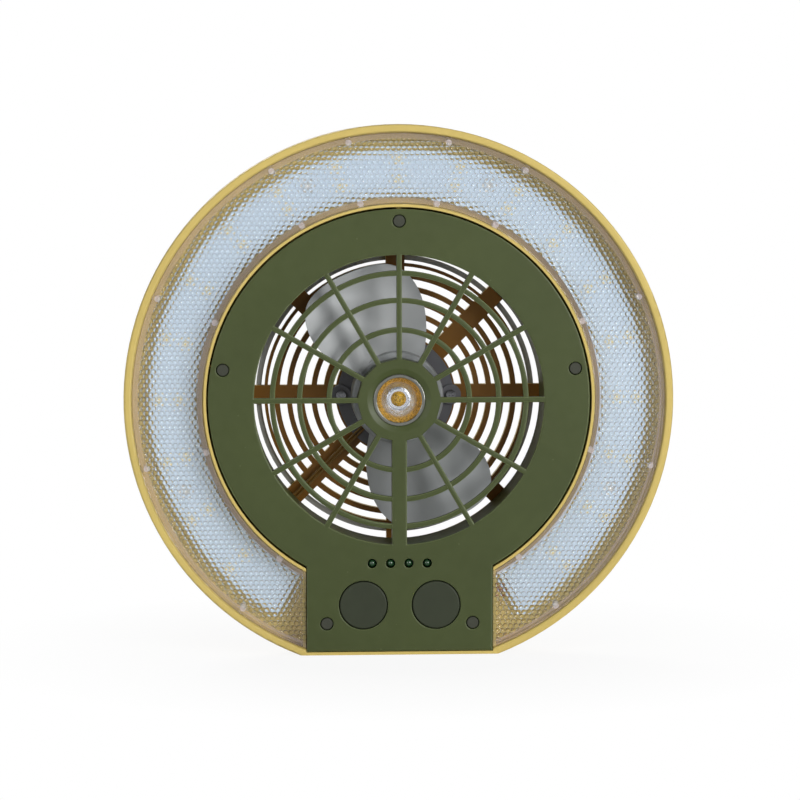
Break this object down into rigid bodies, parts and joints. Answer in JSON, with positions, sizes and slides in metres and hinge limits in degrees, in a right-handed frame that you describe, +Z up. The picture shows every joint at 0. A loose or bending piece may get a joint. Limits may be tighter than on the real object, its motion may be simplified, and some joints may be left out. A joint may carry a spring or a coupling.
{
  "type": "portable camping fan",
  "caption": "Disc-shaped rechargeable camping fan with a C-shaped ring lantern, a spotlight in its hub, push buttons, a flat base to stand on and a fold-out hanging hoop.",
  "frame": {"origin": "centre of the footprint, on the surface that the flat base stands on", "axes": "+Z up, +X to the right as seen from the front; the front grille looks towards -Y and the fan axis runs along Y"},
  "size_m": [0.22, 0.038, 0.2125],
  "materials": {
    "ochre_abs": "satin moulded",
    "olive_abs": "satin moulded",
    "button_abs": "satin moulded",
    "clear_polycarbonate": "clear, with a fine dimple texture",
    "white_laminate": "white solder mask",
    "led_package": "phosphor in a white package",
    "clear_acrylic": "polished",
    "chromed_abs": "bright",
    "grey_abs": "satin moulded",
    "charcoal_nylon": "matte moulded",
    "black_oxide_steel": "black oxide",
    "bright_steel": "turned",
    "sintered_bronze": "oil-filled",
    "enamelled_copper": "enamelled wire",
    "ferrite": "matte",
    "green_laminate": "green solder mask",
    "black_plastic": "moulded",
    "green_epoxy": "diffused",
    "foil_pouch": "laminated foil",
    "black_foam": "open cell",
    "lead_sleeve": "smooth",
    "dark_rubber": "soft moulded"
  },
  "bodies": {
    "housing": {"battery_cell_front": "foil_pouch", "battery_cell_rear": "foil_pouch", "battery_foam": "black_foam", "battery_wires": "lead_sleeve", "bush_front": "sintered_bronze", "bush_rear": "sintered_bronze", "charge_board": "green_laminate", "charge_board_screws": "black_oxide_steel", "charge_socket": "bright_steel", "charge_wires": "lead_sleeve", "control_board": "green_laminate", "control_board_screws": "black_oxide_steel", "cover_screws": "black_oxide_steel", "front_cover": "olive_abs", "guard_ring": "grey_abs", "hoop_screws": "black_oxide_steel", "hub_cap": "olive_abs", "indicator_leds": "green_epoxy", "lamp_board": "white_laminate", "lamp_board_screws": "black_oxide_steel", "lamp_leds": "led_package", "lamp_lens": "clear_polycarbonate", "lamp_wires": "lead_sleeve", "motor_base": "charcoal_nylon", "motor_board": "green_laminate", "motor_screws": "black_oxide_steel", "motor_wires": "lead_sleeve", "rear_housing": "ochre_abs", "screw_plugs": "dark_rubber", "spot_bezel": "chromed_abs", "spot_board": "white_laminate", "spot_led": "led_package", "spot_lens": "clear_acrylic", "spot_wires": "lead_sleeve", "stator_coils": "enamelled_copper", "stator_core": "bright_steel", "switch_left": "black_plastic", "switch_right": "black_plastic", "thrust_pad": "black_plastic"},
    "fan": {"fan_rotor": "grey_abs", "rotor_yoke": "bright_steel", "rotor_magnet": "ferrite", "motor_shaft": "bright_steel"},
    "left_button": {"button_left": "button_abs", "switch_stem_left": "black_plastic"},
    "right_button": {"button_right": "button_abs", "switch_stem_right": "black_plastic"},
    "hoop": {"stand_hoop": "olive_abs"}
  },
  "joints": [
    {"name": "fan_spin", "type": "hinge", "parent": "housing", "child": "fan", "pos_m": [0, 0, 0.1025], "axis": [0, 1, 0], "continuous": true},
    {"name": "press_left", "type": "slide", "parent": "housing", "child": "left_button", "axis": [0, 1, 0], "range_m": [0, 0.0005], "stiffness_N_per_m": 3000},
    {"name": "press_right", "type": "slide", "parent": "housing", "child": "right_button", "axis": [0, 1, 0], "range_m": [0, 0.0005], "stiffness_N_per_m": 3000},
    {"name": "hoop_fold", "type": "hinge", "parent": "housing", "child": "hoop", "pos_m": [0, 0.0035, 0.1025], "axis": [-1, 0, 0], "range_deg": [0, 150]}
  ]
}
